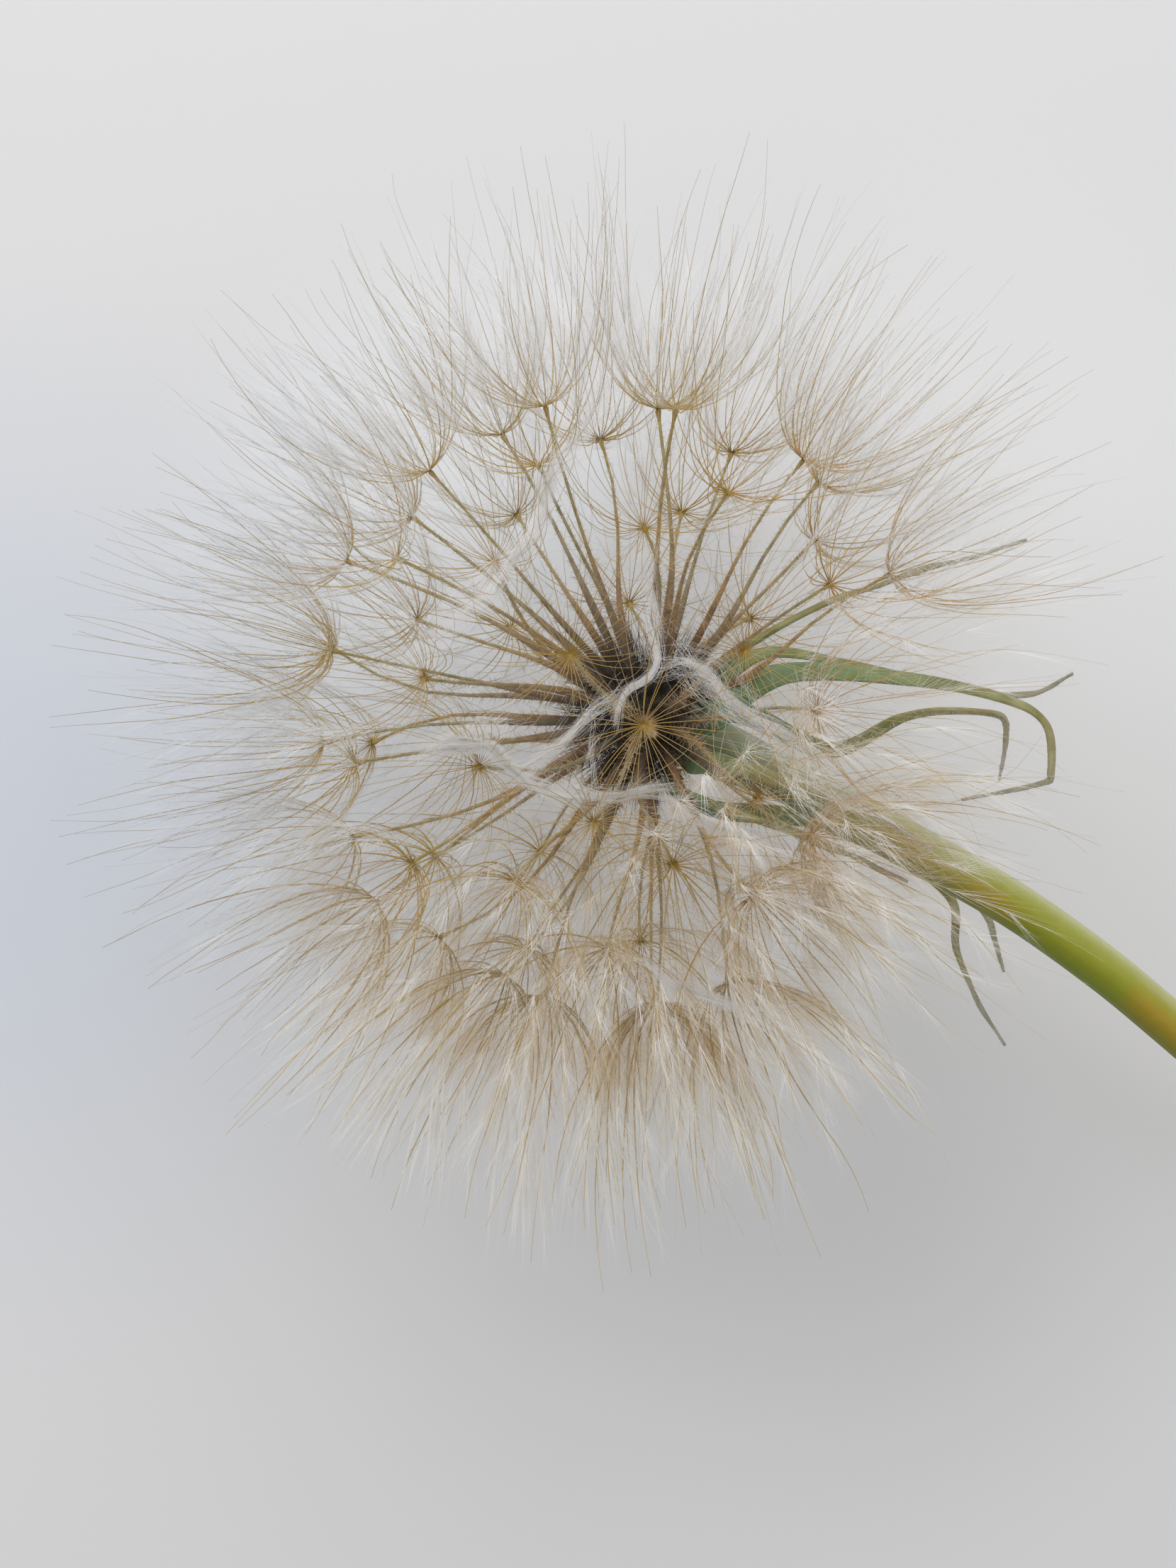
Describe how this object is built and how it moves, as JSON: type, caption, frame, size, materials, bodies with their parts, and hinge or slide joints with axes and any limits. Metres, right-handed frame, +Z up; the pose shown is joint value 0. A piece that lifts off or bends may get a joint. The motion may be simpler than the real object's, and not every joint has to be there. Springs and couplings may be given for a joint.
{
  "type": "goat's-beard seed head on a cut stem",
  "caption": "Ripe round seed head of a dandelion-like flower, with feathery parachutes on beaked seeds, folded-back bracts and a cut stem, lying down.",
  "frame": {"origin": "on the surface, under the middle of the whole part's box", "axes": "+Z up from the surface; +X to the picture's right, the way the stem runs; +Y to the picture's top"},
  "size_m": [0.1734, 0.1384, 0.1081],
  "materials": {
    "seed_head": "fine golden-brown bristles with white side hairs, matt and translucent",
    "seed_body": "dark brown, ribbed and hairy, matt",
    "fluff": "white torn side hair, matt",
    "stem": "smooth yellow-green plant skin with fine ridges, satin",
    "bract": "grey-green leaf with pale veins and withered brown tips, matt"
  },
  "bodies": {
    "root": {"seed_head": "seed_head", "stem": "stem", "bract_1": "bract", "bract_2": "bract", "bract_3": "bract", "bract_4": "bract", "bract_5": "bract", "bract_6": "bract", "bract_7": "bract", "bract_8": "bract"}
  },
  "joints": []
}
